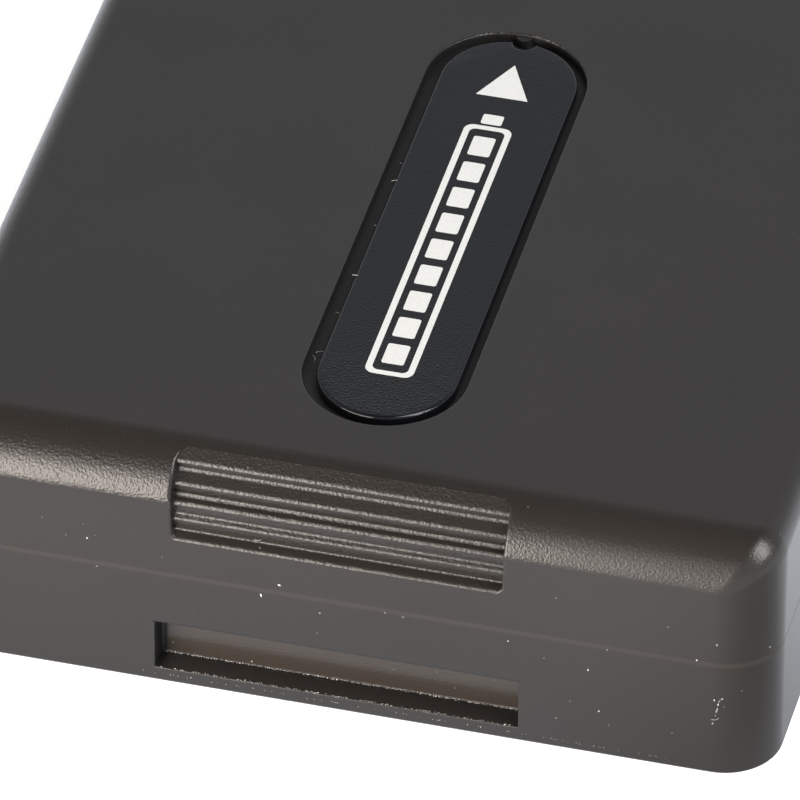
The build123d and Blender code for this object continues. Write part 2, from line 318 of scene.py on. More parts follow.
# Gloss-moulded polycarbonate: blue-black and shiny, with a leathery grain that only shows where it is lit
@dataclass(frozen=True)
class GlossLabel(Finish):
    """Blue-black label plate with a shallow leathery grain."""

    name: str = "gloss_black_polycarbonate"
    colour: str = "#0b0c0e"
    ior: float = 1.43
    rough: Pair = (0.24, 0.36)
    blotch_colour: str = "#101114"
    blotch_mm: float = 4.0
    blotch_detail: float = 4.0
    grain_mm: float = 0.2
    grain_depth_mm: float = 0.05
    worn_mm: Pair = (-18.5, -9.5)
    worn_grain: float = 0.3
    face_facing: Pair = (0.9, 0.99)
    rim_rough: float = 0.12

    def shader(self, tree: Tree, place: Socket) -> Socket:
        """Surface socket: near-black colour, gloss with faint handling marks, and a leathery bump.

        Args:
            tree: the material's node tree.
            place: Object coordinates.

        Returns:
            The shader's output.
        """
        blotch = add_node(
            tree, "ShaderNodeTexNoise",
            {"Vector": place, "Scale": per_mm(self.blotch_mm), "Detail": self.blotch_detail},
        ).outputs["Fac"]
        colour = add_node(
            tree, "ShaderNodeMix",
            {FACTOR: blotch, FIRST_COLOUR: linear(self.colour), SECOND_COLOUR: linear(self.blotch_colour)},
            data_type="RGBA",
        ).outputs[MIXED_COLOUR]
        # Cells with wandering borders look like leather
        warp = add_node(tree, "ShaderNodeTexNoise", {"Vector": place, "Scale": per_mm(2 * self.grain_mm)})
        wander = add_node(
            tree, "ShaderNodeVectorMath", {0: warp.outputs["Color"], 1: (self.grain_mm * MM,) * 3, 2: place},
            operation="MULTIPLY_ADD",
        ).outputs[0]
        cells = add_node(
            tree, "ShaderNodeTexVoronoi", {"Vector": wander, "Scale": per_mm(self.grain_mm)},
            feature="DISTANCE_TO_EDGE",
        ).outputs["Distance"]
        # Thumbs have worn the grain down from the arrow to the middle, so it is deepest at the tail end
        axes = add_node(tree, "ShaderNodeSeparateXYZ", {"Vector": place}).outputs
        left = add_node(
            tree, "ShaderNodeMapRange",
            {"Value": axes["Y"], "From Min": self.worn_mm[0] * MM, "From Max": self.worn_mm[1] * MM,
             "To Min": 1.0, "To Max": self.worn_grain},
        ).outputs[0]
        # The rim was never textured in the mould, so it is smoother than the face
        normal = add_node(tree, "ShaderNodeTexCoord").outputs["Normal"]
        sides = add_node(tree, "ShaderNodeSeparateXYZ", {"Vector": normal}).outputs
        face = add_node(
            tree, "ShaderNodeMapRange",
            {"Value": sides["Z"], "From Min": self.face_facing[0], "From Max": self.face_facing[1]},
        ).outputs[0]
        strength = add_node(tree, "ShaderNodeMath", {0: left, 1: face}, operation="MULTIPLY").outputs[0]
        bump = add_node(
            tree, "ShaderNodeBump",
            {"Strength": strength, "Distance": self.grain_depth_mm * MM, "Height": cells},
        ).outputs[0]
        rough = add_node(
            tree, "ShaderNodeMapRange", {"Value": blotch, "To Min": self.rough[0], "To Max": self.rough[1]},
        ).outputs[0]
        rough = add_node(
            tree, "ShaderNodeMix", {FACTOR: face, FIRST_NUMBER: self.rim_rough, SECOND_NUMBER: rough},
            data_type="FLOAT",
        ).outputs[0]
        shader = add_node(
            tree, "ShaderNodeBsdfPrincipled",
            {"Base Color": colour, "Roughness": rough, "Normal": bump, "IOR": self.ior},
        )
        return shader.outputs[0]


# The other finishes each need one pattern: a second colour, a roughness range and a bump from the same texture
@dataclass(frozen=True)
class PatternFinish(Finish):
    """A real material that one repeating pattern is enough for."""

    name: str
    colours: tuple[str, str]
    pattern: Pattern
    size_mm: float
    rough: Pair
    depth_mm: float
    metallic: float = 0.0
    stretch: Point = (1.0, 1.0, 1.0)
    # Shades of the two kinds of field and of the tracks between them, and the width of a track
    field_shades: Point = (1.0, 0.7, 0.0)
    track_width: float = 0.06

    def texture(self, tree: Tree, place: Socket) -> Socket:
        """Socket of the pattern, from 0 to 1.

        Args:
            tree: the material's node tree.
            place: Object coordinates.

        Returns:
            The pattern's output.
        """
        spread = add_node(tree, "ShaderNodeMapping", {"Vector": place, "Scale": self.stretch})
        inputs = {"Vector": spread.outputs[0], "Scale": per_mm(self.size_mm)}
        if self.pattern is Pattern.CELLS:
            return add_node(tree, "ShaderNodeTexVoronoi", inputs).outputs["Distance"]
        if self.pattern is Pattern.TRACES:
            for name, shade in zip(("Color1", "Color2", "Mortar"), self.field_shades):
                inputs[name] = (shade, shade, shade, 1.0)
            inputs["Mortar Size"] = self.track_width
            return add_node(tree, "ShaderNodeTexBrick", inputs).outputs["Color"]
        inputs["Detail"] = NOISE_DETAIL[self.pattern]
        return add_node(tree, "ShaderNodeTexNoise", inputs).outputs["Fac"]

    def shader(self, tree: Tree, place: Socket) -> Socket:
        """Surface socket: two colours, a roughness range and a bump, all from the pattern.

        Args:
            tree: the material's node tree.
            place: Object coordinates.

        Returns:
            The shader's output.
        """
        source = self.texture(tree, place)
        first, second = (linear(colour) for colour in self.colours)
        colour = add_node(
            tree, "ShaderNodeMix", {FACTOR: source, FIRST_COLOUR: first, SECOND_COLOUR: second}, data_type="RGBA",
        ).outputs[MIXED_COLOUR]
        rough = add_node(
            tree, "ShaderNodeMapRange", {"Value": source, "To Min": self.rough[0], "To Max": self.rough[1]},
        ).outputs[0]
        bump = add_node(tree, "ShaderNodeBump", {"Distance": self.depth_mm * MM, "Height": source}).outputs[0]
        shader = add_node(
            tree, "ShaderNodeBsdfPrincipled",
            {"Base Color": colour, "Roughness": rough, "Metallic": self.metallic, "Normal": bump},
        )
        return shader.outputs[0]


CASE_ABS = SparkTexturedAbs()
LABEL_BLACK = GlossLabel()
# The grain of ink, dust, resin and ceramic is really about a hundredth of a millimetre. That is too fine to
# show, so it is drawn at 0.05 to 0.15 mm.
# Pad-printed ink: matt off-white, a little thin where the grain shows through
PRINT_INK = PatternFinish(
    "pad_printed_ink", ("#e0e0dc", "#cccbc7"), Pattern.SPECKLE, 0.12, rough=(0.5, 0.7), depth_mm=0.002,
)
# Household dust and lint: matt and greyish, so it reads as faint specks on the dark case
DUST = PatternFinish(
    "pale_dust", ("#b9b5ad", "#7d7972"), Pattern.SPECKLE, 0.05, rough=(0.8, 0.95), depth_mm=0.004,
)
# Plastic crumb specks worn off the edges, fresh and pale; dotted along the latch pocket's edges and the bottom edge
# they are painted glints, in place of highlights sparkling on those edges
CRUMB_AND_GLINT = PatternFinish(
    "pale_crumbs_and_glints", ("#efece6", "#c9c5bd"), Pattern.SPECKLE, 0.05, rough=(0.45, 0.7), depth_mm=0.004,
)
# Hard gold plating on a spring contact: warm metal with fine upright wipe marks
GOLD = PatternFinish(
    "hard_gold_plating", ("#d8b268", "#c39a4f"), Pattern.BRUSHED, 0.12, rough=(0.18, 0.34), depth_mm=0.0015,
    metallic=1.0, stretch=(1.0, 1.0, 0.08),
)
# Drawn aluminium cell can: pale metal with draw lines along its length
CELL_ALUMINIUM = PatternFinish(
    "drawn_aluminium_can", ("#c6c8ca", "#aeb0b3"), Pattern.BRUSHED, 0.2, rough=(0.28, 0.45), depth_mm=0.003,
    metallic=1.0, stretch=(1.0, 0.04, 1.0),
)
# Nickel strip: warm grey metal, rolled along its length
NICKEL = PatternFinish(
    "rolled_nickel_strip", ("#b8b2a6", "#a29c90"), Pattern.BRUSHED, 0.15, rough=(0.25, 0.42), depth_mm=0.002,
    metallic=1.0, stretch=(0.06, 1.0, 1.0),
)
# Acrylic adhesive film: honey-coloured and slightly glossy, with small trapped bubbles
ADHESIVE = PatternFinish(
    "acrylic_adhesive_film", ("#cdb98a", "#bda772"), Pattern.CELLS, 1.2, rough=(0.3, 0.5), depth_mm=0.004,
)
# Closed-cell polyurethane foam: black and matt, pitted all over
FOAM = PatternFinish(
    "polyurethane_foam", ("#2a2a2c", "#18181a"), Pattern.CELLS, 0.35, rough=(0.85, 0.95), depth_mm=0.06,
)
# Vulcanised fibre paper: grey-green and matt, with short fibres
FIBRE_PAPER = PatternFinish(
    "vulcanised_fibre_paper", ("#8d9a8b", "#7b887a"), Pattern.SPECKLE, 0.25, rough=(0.7, 0.85), depth_mm=0.008,
    stretch=(0.2, 1.0, 1.0),
)
# Thermal cut-off: glass-filled black resin, dull and even
CUTOFF_RESIN = PatternFinish(
    "glass_filled_resin", ("#242528", "#303236"), Pattern.SPECKLE, 0.12, rough=(0.5, 0.65), depth_mm=0.004,
)
# Circuit board laminate under green solder mask: glossy, darker over the copper tracks
SOLDER_MASK = PatternFinish(
    "green_solder_mask", ("#1d4a31", "#2b6242"), Pattern.TRACES, 2.4, rough=(0.2, 0.32), depth_mm=0.02,
)
# Moulded epoxy of the chips: black and matt with a fine grain
CHIP_EPOXY = PatternFinish(
    "moulded_chip_epoxy", ("#1c1c1e", "#29292b"), Pattern.SPECKLE, 0.08, rough=(0.55, 0.7), depth_mm=0.004,
)
# Fired ceramic of the small resistors, capacitors and thermistor: tan and slightly glossy
CERAMIC = PatternFinish(
    "fired_ceramic", ("#8c7a5f", "#77664d"), Pattern.SPECKLE, 0.1, rough=(0.35, 0.5), depth_mm=0.003,
)
# Nylon of the contact carrier: black with a faint sheen
CARRIER_NYLON = PatternFinish(
    "glass_filled_nylon", ("#202124", "#2b2c30"), Pattern.SPECKLE, 0.15, rough=(0.4, 0.55), depth_mm=0.004,
)


def link(data: bpy.types.ID, name: str) -> Piece:
    """Object of a mesh, a lamp or a camera, put in the scene at the origin.

    Args:
        data: what the object holds.
        name: the object's name.

    Returns:
        The object.
    """
    piece = bpy.data.objects.new(name, data)
    bpy.context.scene.collection.objects.link(piece)
    return piece


def paint(piece: Piece, finish: Finish) -> None:
    """Gives a new piece one finish all over."""
    piece.data.materials.clear()
    piece.data.materials.append(finish.material())


def dress_node(name: str, finish: Finish) -> None:
    """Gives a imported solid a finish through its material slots.

    Args:
        name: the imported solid.
        finish: its finish.
    """
    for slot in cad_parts[name].material_slots:
        slot.material = finish.material()
    LOG.info("solid %s: %s", name, finish.name)


def fit(piece: Piece, slot: Slot, *nodes: str) -> None:
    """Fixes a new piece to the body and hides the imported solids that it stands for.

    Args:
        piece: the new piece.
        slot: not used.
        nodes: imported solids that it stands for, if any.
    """
    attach(piece, BODY)
    if nodes:
        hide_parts(*nodes)
    LOG.info("piece %s: %d faces", piece.name, len(piece.data.polygons))


def make_plain(piece: Piece) -> None:
    """Works out a piece's modifiers, and leaves it with the plain mesh and no modifiers.

    Args:
        piece: object with live modifiers.
    """
    graph = bpy.context.evaluated_depsgraph_get()
    mesh = bpy.data.meshes.new_from_object(
        piece.evaluated_get(graph), preserve_all_data_layers=True, depsgraph=graph,
    )
    mesh.name = piece.name
    piece.modifiers.clear()
    piece.data = mesh


def make_piece(shape: Shape, name: str) -> Piece:
    """Turns a mesh in the making into a piece in the scene, and frees it.

    Args:
        shape: the mesh in the making.
        name: the piece's name.

    Returns:
        The piece.
    """
    mesh = bpy.data.meshes.new(name)
    shape.to_mesh(mesh)
    shape.free()
    return link(mesh, name)


def moulded_copy(node: str, name: str, sharp: float, touch_up: Callable[[Shape], None] | None = None) -> Piece:
    """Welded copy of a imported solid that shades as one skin, with its flat faces flat and its roundings round.

    Args:
        node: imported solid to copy.
        name: name of the new piece.
        sharp: angle in degrees over which an edge stays sharp.
        touch_up: small change to the welded mesh, if any.

    Returns:
        The new piece.
    """
    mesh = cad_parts[node].data.copy()
    if "custom_normal" in mesh.attributes:
        mesh.attributes.remove(mesh.attributes["custom_normal"])
    shape = bmesh.new()
    shape.from_mesh(mesh)
    bmesh.ops.remove_doubles(shape, verts=shape.verts, dist=WELD_MM * MM)
    bmesh.ops.dissolve_degenerate(shape, dist=WELD_MM * MM, edges=shape.edges)
    if touch_up:
        touch_up(shape)
    for edge in shape.edges:
        edge.smooth = edge.is_manifold and math.degrees(edge.calc_face_angle()) < sharp
    for face in shape.faces:
        face.smooth = True
    shape.to_mesh(mesh)
    shape.free()
    piece = link(mesh, name)
    even = piece.modifiers.new("even_normals", "WEIGHTED_NORMAL")
    even.mode = "FACE_AREA"
    even.weight = 100
    even.keep_sharp = True
    make_plain(piece)
    return piece


@dataclass(frozen=True)
class GripLine:
    """Points in a strip of the grip, and the straight line that they are drawn into."""

    strip_mm: Strip
    line_mm: Pair
    share: float = 1.0
    rounded: bool = False


@dataclass
class Case:
    """The two moulded halves."""

    sharp: float = 24.0
    corner_mm: float = 2.75
    # Heights that the seam's groove lies between, its depth, how much of it is filled and where that ends
    seam_span_mm: Pair = (6.395, 6.455)
    seam_depth_mm: float = 0.03
    seam_off_mm: float = 0.005
    seam_fill: float = 0.9
    seam_opens_mm: float = 2.0
    grip_half_mm: float = 7.8
    grip_spare_mm: float = 0.05
    # Top lip, foot of the third upright step, nose and foot of the fourth, and ends of the last tread
    lines: tuple[GripLine, ...] = (
        GripLine((1.69, 1.765, 12.55, 12.635), (1.77, 12.64), share=0.95),
        GripLine((0.4, 0.43, 9.7, 9.84), (0.58, 9.7), rounded=True),
        GripLine((0.35, 0.38, 9.46, 9.54), (0.34, 9.47), rounded=True),
        GripLine((0.25, 0.362, 8.815, 9.05), (0.5, 8.78), rounded=True),
        GripLine((0.16, 0.245, 8.74, 8.81), (0.2, 8.672)),
    )
    lower_lip: GripLine = GripLine((-0.006, 0.16, 8.55, 8.745), (0.0, 8.6))
    # Foot of the first upright step, nose and foot of the second and nose of the third, and how far each moves
    undercuts_mm: tuple[tuple[Strip, Pair], ...] = (
        ((1.12, 1.235, 11.655, 11.885), (0.06, -0.05)),
        ((0.73, 0.84, 11.16, 11.39), (0.0, -0.05)),
        ((0.64, 0.74, 10.63, 10.86), (0.1, -0.15)),
        ((0.415, 0.52, 10.29, 10.52), (0.0, -0.085)),
    )
    # Lower corners of the grip, how far their foot is pulled in and over what height
    corner_strip_mm: Strip = (-0.01, 0.55, 8.53, 8.98)
    corner_pull_mm: float = 0.26
    corner_height_mm: float = 0.38
    line_weld_mm: float = 0.002
    line_round_mm: float = 0.11
    rim_round_mm: float = 0.16
    round_steps: int = 4
    # Depth and least height of the faces by the grip, and the angle under which two of them are one
    nearby_mm: Pair = (3.0, 6.6)
    one_face_angle: float = 0.2
    # Skin by the grip: its margin at the sides and its least height
    skin_margin_mm: float = 0.1
    skin_from_mm: float = 8.5
    # How far off it a point may be, and its greatest or least height, for the flat tail and for the rounding
    flat_skin_mm: Pair = (0.004, 10.7)
    round_skin_mm: Pair = (0.012, 10.5)
    # Depth and height of the rounding's middle, and its radius
    tail_arc_mm: Point = (2.69, 10.05, 2.75)
    # How much the skin may face sideways at the most, and an end wall at the least
    skin_tilt: float = 0.05
    wall_tilt: float = 0.25

    def close_seam(self, shape: Shape) -> None:
        """Fills the groove of the seam along the tail, where the halves meet without a gap.

        Args:
            shape: the upper half.
        """
        side = CAD_BOX[1].x / MM - self.corner_mm
        for vert in shape.verts:
            x, y, z = vert.co / MM
            opens = TAIL_Y / MM + self.seam_opens_mm - y
            if opens < 0 or not self.seam_span_mm[0] < z < self.seam_span_mm[1]:
                continue
            arm = Vector((x - max(-side, min(side, x)), y - TAIL_Y / MM - self.corner_mm, 0.0))
            if abs(arm.length - self.corner_mm + self.seam_depth_mm) < self.seam_off_mm:
                vert.co += arm.normalized() * self.seam_depth_mm * self.seam_fill * min(1.0, opens) * MM

    def in_grip(self, vert: bmesh.types.BMVert, strip: Strip) -> bool:
        """Whether a point lies in a strip of the grip.

        Args:
            vert: the point.
            strip: limits of depth from the tail and of height.

        Returns:
            True if it does.
        """
        x, y, z = vert.co / MM
        y -= TAIL_Y / MM
        across = abs(x) < self.grip_half_mm + self.grip_spare_mm
        return across and strip[0] < y < strip[1] and strip[2] < z < strip[3]

    def move_point(self, vert: bmesh.types.BMVert) -> None:
        """Moves a point of the grip's steps, lips or lower corners to its place.

        Args:
            vert: any point of the upper half.
        """
        shift = next((shift for strip, shift in self.undercuts_mm if self.in_grip(vert, strip)), None)
        drawn = next((line for line in (*self.lines, self.lower_lip) if self.in_grip(vert, line.strip_mm)), None)
        if shift:
            vert.co.yz += Vector(shift) * MM
        elif drawn:
            y, z = drawn.line_mm
            vert.co.yz = vert.co.yz.lerp(Vector((y * MM + TAIL_Y, z * MM)), drawn.share)
        if drawn is self.lower_lip:
            vert.co.x = math.copysign(self.grip_half_mm * MM, vert.co.x)
        if self.in_grip(vert, self.corner_strip_mm):
            share = (self.corner_strip_mm[3] - vert.co.z / MM) / self.corner_height_mm
            vert.co.x -= math.copysign(self.corner_pull_mm * share ** 2 * MM, vert.co.x)

    def shape_grip(self, shape: Shape) -> None:
        """Makes the grip's lips clean edges, undercuts its upright steps and pulls in its lower corners.

        Args:
            shape: the upper half.
        """
        for vert in shape.verts:
            self.move_point(vert)
        bmesh.ops.remove_doubles(shape, verts=shape.verts, dist=self.line_weld_mm * MM)

    def on_line(self, edge: bmesh.types.BMEdge) -> bool:
        """Whether an edge is one of the grip's lines that are rounded.

        Args:
            edge: any edge of the upper half.

        Returns:
            True if it is.
        """
        if abs(edge.verts[0].co.x - edge.verts[1].co.x) <= self.grip_half_mm * MM:
            return False
        strips = [
            (y - NEAR_MM, y + NEAR_MM, z - NEAR_MM, z + NEAR_MM)
            for y, z in (line.line_mm for line in self.lines if line.rounded)
        ]
        return any(all(self.in_grip(vert, strip) for vert in edge.verts) for strip in strips)

    def on_skin(self, vert: bmesh.types.BMVert) -> bool:
        """Whether a point by the grip lies on the outer skin: the flat tail or the rounding over it.

        Args:
            vert: any point of the upper half.

        Returns:
            True if it does.
        """
        x, y, z = vert.co / MM
        y -= TAIL_Y / MM
        middle_y, middle_z, radius = self.tail_arc_mm
        if abs(x) > self.grip_half_mm + self.skin_margin_mm or z < self.skin_from_mm or y >= middle_y:
            return False
        off_arc = math.hypot(y - middle_y, z - middle_z) - radius
        on_flat = abs(y) < self.flat_skin_mm[0] and z < self.flat_skin_mm[1]
        return on_flat or abs(off_arc) < self.round_skin_mm[0] and z > self.round_skin_mm[1]

    def on_rim(self, edge: bmesh.types.BMEdge) -> bool:
        """Whether the skin meets an end wall of the grip, or its lower lip, at an edge.

        Args:
            edge: any edge of the upper half.

        Returns:
            True if it does.
        """
        if len(edge.link_faces) != 2 or not all(self.on_skin(vert) for vert in edge.verts):
            return False
        tilts = [abs(face.normal.x) for face in edge.link_faces]
        lip_z = self.lower_lip.line_mm[1] * MM
        on_lip = all(abs(vert.co.z - lip_z) < NEAR_MM * MM for vert in edge.verts)
        return min(tilts) < self.skin_tilt and (max(tilts) > self.wall_tilt or on_lip)

    def round_edges(self, shape: Shape, edges: list[bmesh.types.BMEdge], width: float) -> None:
        """Rounds edges of a mesh over a width in millimetres."""
        bmesh.ops.bevel(
            shape, geom=edges, offset=width * MM, segments=self.round_steps, profile=0.5, affect="EDGES",
            offset_type="OFFSET", clamp_overlap=False, loop_slide=True,
        )

    def soften_grip(self, shape: Shape) -> None:
        """Rounds the lines of the undercut steps, then the rim of the grip's end walls and its lower lip.

        Args:
            shape: the upper half.
        """
        reach, height = TAIL_Y + self.nearby_mm[0] * MM, self.nearby_mm[1] * MM
        middles = ((face, face.calc_center_median()) for face in shape.faces)
        nearby = [face for face, middle in middles if middle.y < reach and middle.z > height]
        bmesh.ops.dissolve_limit(
            shape, angle_limit=math.radians(self.one_face_angle), use_dissolve_boundaries=False, delimit=set(),
            verts=list(dict.fromkeys(vert for face in nearby for vert in face.verts)),
            edges=list(dict.fromkeys(edge for face in nearby for edge in face.edges)),
        )
        shape.normal_update()
        lines = [edge for edge in shape.edges if self.on_line(edge)]
        self.round_edges(shape, lines, self.line_round_mm)
        rims = [edge for edge in shape.edges if self.on_rim(edge)]
        self.round_edges(shape, rims, self.rim_round_mm)

    def finish_upper(self, shape: Shape) -> None:
        """Touches up the upper half: its seam, its grip and the grip's edges.

        Args:
            shape: the upper half.
        """
        self.close_seam(shape)
        self.shape_grip(shape)
        self.soften_grip(shape)

    def build(self) -> list[Piece]:
        """Makes both halves and dresses them.

        Returns:
            The upper and the lower half.
        """
        halves = []
        for node, touch_up in (("upper_case", self.finish_upper), ("lower_case", None)):
            half = moulded_copy(node, f"{node}_moulding", self.sharp, touch_up)
            paint(half, CASE_ABS)
            fit(half, Slot.CASE, node)
            halves.append(half)
        return halves


def rounded_rectangle(width: float, length: float, radius: float, steps: int) -> list[Pair]:
    """Outline of a rectangle with round corners about the origin, anticlockwise.

    Args:
        width: size along x.
        length: size along y.
        radius: corner radius.
        steps: straight runs in each corner.

    Returns:
        Points of the outline.
    """
    points = []
    for turn, (side, end) in enumerate(((1, 1), (-1, 1), (-1, -1), (1, -1))):
        middle = (side * (width / 2 - radius), end * (length / 2 - radius))
        for step in range(steps + 1):
            angle = math.radians(90 * (turn + step / steps))
            points.append((middle[0] + radius * math.cos(angle), middle[1] + radius * math.sin(angle)))
    return points


def flat_prism(shape: Shape, outline: list[Pair], low: float, high: float) -> None:
    """Adds a closed prism to a mesh.

    Args:
        shape: mesh that takes it.
        outline: its outline, anticlockwise.
        low: height of its underside.
        high: height of its top.
    """
    top = [shape.verts.new((x, y, high)) for x, y in outline]
    bottom = [shape.verts.new((x, y, low)) for x, y in outline]
    shape.faces.new(top)
    shape.faces.new(list(reversed(bottom)))
    for index in range(len(outline)):
        after = (index + 1) % len(outline)
        shape.faces.new((bottom[index], bottom[after], top[after], top[index]))


def flat_ring(shape: Shape, outer: list[Pair], inner: list[Pair], low: float, high: float) -> None:
    """Adds a closed flat ring to a mesh.

    Args:
        shape: mesh that takes it.
        outer: outer outline, anticlockwise.
        inner: inner outline with as many points.
        low: height of its underside.
        high: height of its top.
    """
    levels = ((outer, low), (outer, high), (inner, high), (inner, low))
    loops = [[shape.verts.new((x, y, z)) for x, y in outline] for outline, z in levels]
    for first, second in zip(loops, loops[1:] + loops[:1]):
        for index in range(len(outer)):
            after = (index + 1) % len(outer)
            shape.faces.new((first[index], first[after], second[after], second[index]))


class NodeShop:
    """Builds one Geometry Nodes tree and works it out on a piece."""

    def __init__(self, name: str, finish: Finish) -> None:
        """Starts a tree that takes geometry and a material.

        Args:
            name: the tree's name.
            finish: finish of what it makes.
        """
        self.tree = bpy.data.node_groups.new(name, "GeometryNodeTree")
        for way in ("INPUT", "OUTPUT"):
            self.tree.interface.new_socket("Geometry", in_out=way, socket_type="NodeSocketGeometry")
        self.values: dict[str, object] = {}
        self.entry = self.add("NodeGroupInput").outputs
        self.value("Material", "Material", finish.material())

    def value(self, name: str, kind: str, value: object) -> None:
        """Names an input of the tree and keeps the value that it will be set to.

        Args:
            name: the input's name.
            kind: last part of the socket's type, such as Float.
            value: what it is set to.
        """
        socket = self.tree.interface.new_socket(name, in_out="INPUT", socket_type=f"NodeSocket{kind}")
        self.values[socket.identifier] = value

    def add(self, kind: str, inputs: dict | None = None, **settings) -> bpy.types.Node:
        """Adds a node to the tree."""
        return add_node(self.tree, kind, inputs, **settings)

    def finish(self, geometry: Socket, piece: Piece) -> None:
        """Ends the tree in real, painted geometry and leaves the piece with the plain mesh.

        Args:
            geometry: socket of the finished geometry.
            piece: piece that the tree is worked out on.
        """
        real = self.add("GeometryNodeRealizeInstances", {"Geometry": geometry}).outputs[0]
        painted = self.add("GeometryNodeSetMaterial", {"Geometry": real, "Material": self.entry["Material"]})
        self.add("NodeGroupOutput", {"Geometry": painted.outputs[0]})
        modifier = piece.modifiers.new(self.tree.name, "NODES")
        modifier.node_group = self.tree
        for identifier, value in self.values.items():
            modifier[identifier] = value
        make_plain(piece)


@dataclass
class Label:
    """The glossy plate in the recess, with its slide arrow and its battery sign."""

    sharp: float = 40.0
    middle_x_mm: float = 0.12
    arrow_base_y_mm: float = 6.0
    arrow_tip_y_mm: float = 8.6
    arrow_width_mm: float = 2.5
    sign_start_y_mm: float = -15.6
    sign_end_y_mm: float = 3.7
    sign_width_mm: float = 2.3
    sign_line_mm: float = 0.3
    sign_corner_mm: float = 0.45
    sign_steps: int = 6
    cap_width_mm: float = 1.0
    cap_length_mm: float = 0.75
    bar_count: int = 9
    bar_width_mm: float = 1.06
    bar_gap_mm: float = 0.55
    bar_corner_mm: float = 0.12
    bar_steps: int = 4
    bar_weld_mm: float = 0.0005
    ink_rise_mm: float = 0.003
    ink_sink_mm: float = 0.01

    def build(self) -> None:
        """Makes the plate and its print, and dresses them."""
        plate = moulded_copy("label_plate", "label_plate_gloss", self.sharp)
        paint(plate, LABEL_BLACK)
        fit(plate, Slot.LABEL, "label_plate")
        for piece in (self.arrow(), self.sign(), self.bars()):
            paint(piece, PRINT_INK)
            fit(piece, Slot.LABEL)

    def ink_span(self) -> Pair:
        """Heights of the underside and the top of the ink."""
        return TOP_Z - self.ink_sink_mm * MM, TOP_Z + self.ink_rise_mm * MM

    def placed(self, outline: list[Pair], middle_y: float = 0.0) -> list[Pair]:
        """Outline in millimetres, moved to its place along the label and turned to metres."""
        return [((x + self.middle_x_mm) * MM, (y + middle_y) * MM) for x, y in outline]

    def arrow(self) -> Piece:
        """Triangle that points the way the pack slides on.

        Returns:
            The printed arrow.
        """
        half = self.arrow_width_mm / 2
        corners = [(-half, self.arrow_base_y_mm), (half, self.arrow_base_y_mm), (0.0, self.arrow_tip_y_mm)]
        shape = bmesh.new()
        flat_prism(shape, self.placed(corners), *self.ink_span())
        return make_piece(shape, "slide_arrow_print")

    def sign(self) -> Piece:
        """Outline of a battery with the cap of its pole.

        Returns:
            The printed outline.
        """
        width, length = self.sign_width_mm, self.sign_end_y_mm - self.sign_start_y_mm
        middle = (self.sign_start_y_mm + self.sign_end_y_mm) / 2
        line, corner = self.sign_line_mm, self.sign_corner_mm
        outer = rounded_rectangle(width, length, corner, self.sign_steps)
        inner = rounded_rectangle(width - 2 * line, length - 2 * line, corner - line / 2, self.sign_steps)
        cap = rounded_rectangle(self.cap_width_mm, self.cap_length_mm, self.bar_corner_mm, self.bar_steps)
        cap_y = self.sign_end_y_mm + self.cap_length_mm / 2 + line / 2
        shape = bmesh.new()
        flat_ring(shape, self.placed(outer, middle), self.placed(inner, middle), *self.ink_span())
        flat_prism(shape, self.placed(cap, cap_y), *self.ink_span())
        bmesh.ops.recalc_face_normals(shape, faces=shape.faces)
        return make_piece(shape, "battery_sign_print")

    def bars(self) -> Piece:
        """Row of charge bars inside the battery sign, made by Geometry Nodes.

        Returns:
            The printed bars.
        """
        low, high = self.ink_span()
        inside = self.sign_end_y_mm - self.sign_start_y_mm - 2 * (self.sign_line_mm + self.bar_gap_mm)
        bar = (inside - (self.bar_count - 1) * self.bar_gap_mm) / self.bar_count
        first = self.sign_start_y_mm + self.sign_line_mm + self.bar_gap_mm + bar / 2
        shop = NodeShop("charge_bars", PRINT_INK)
        shop.value("Count", "Int", self.bar_count)
        shop.value("Pitch", "Vector", (0.0, (bar + self.bar_gap_mm) * MM, 0.0))
        shop.value("First", "Vector", (self.middle_x_mm * MM, first * MM, low))
        shop.value("Width", "Float", self.bar_width_mm * MM)
        shop.value("Length", "Float", bar * MM)
        shop.value("Corner", "Float", self.bar_corner_mm * MM)
        shop.value("Thickness", "Float", high - low)
        entry = shop.entry
        outline = shop.add(
            "GeometryNodeCurvePrimitiveQuadrilateral", {"Width": entry["Width"], "Height": entry["Length"]},
        )
        soft = shop.add(
            "GeometryNodeFilletCurve",
            {"Curve": outline.outputs[0], "Radius": entry["Corner"], "Count": self.bar_steps, "Limit Radius": True},
            mode="POLY",
        )
        face = shop.add("GeometryNodeFillCurve", {"Curve": soft.outputs[0]}, mode="NGONS").outputs[0]
        up = shop.add("ShaderNodeCombineXYZ", {"Z": entry["Thickness"]}).outputs[0]
        raised = shop.add(
            "GeometryNodeExtrudeMesh", {"Mesh": face, "Offset": up, "Offset Scale": 1.0, "Individual": False},
        )
        under = shop.add("GeometryNodeFlipFaces", {"Mesh": face})
        whole = shop.add("GeometryNodeJoinGeometry")
        for part in (raised, under):
            shop.tree.links.new(part.outputs[0], whole.inputs[0])
        closed = shop.add(
            "GeometryNodeMergeByDistance", {"Geometry": whole.outputs[0], "Distance": self.bar_weld_mm * MM},
        )
        row = shop.add(
            "GeometryNodeMeshLine",
            {"Count": entry["Count"], "Start Location": entry["First"], "Offset": entry["Pitch"]},
        )
        placed = shop.add(
            "GeometryNodeInstanceOnPoints", {"Points": row.outputs[0], "Instance": closed.outputs[0]},
        )
        piece = link(bpy.data.meshes.new("charge_bars_print"), "charge_bars_print")
        shop.finish(placed.outputs[0], piece)
        return piece


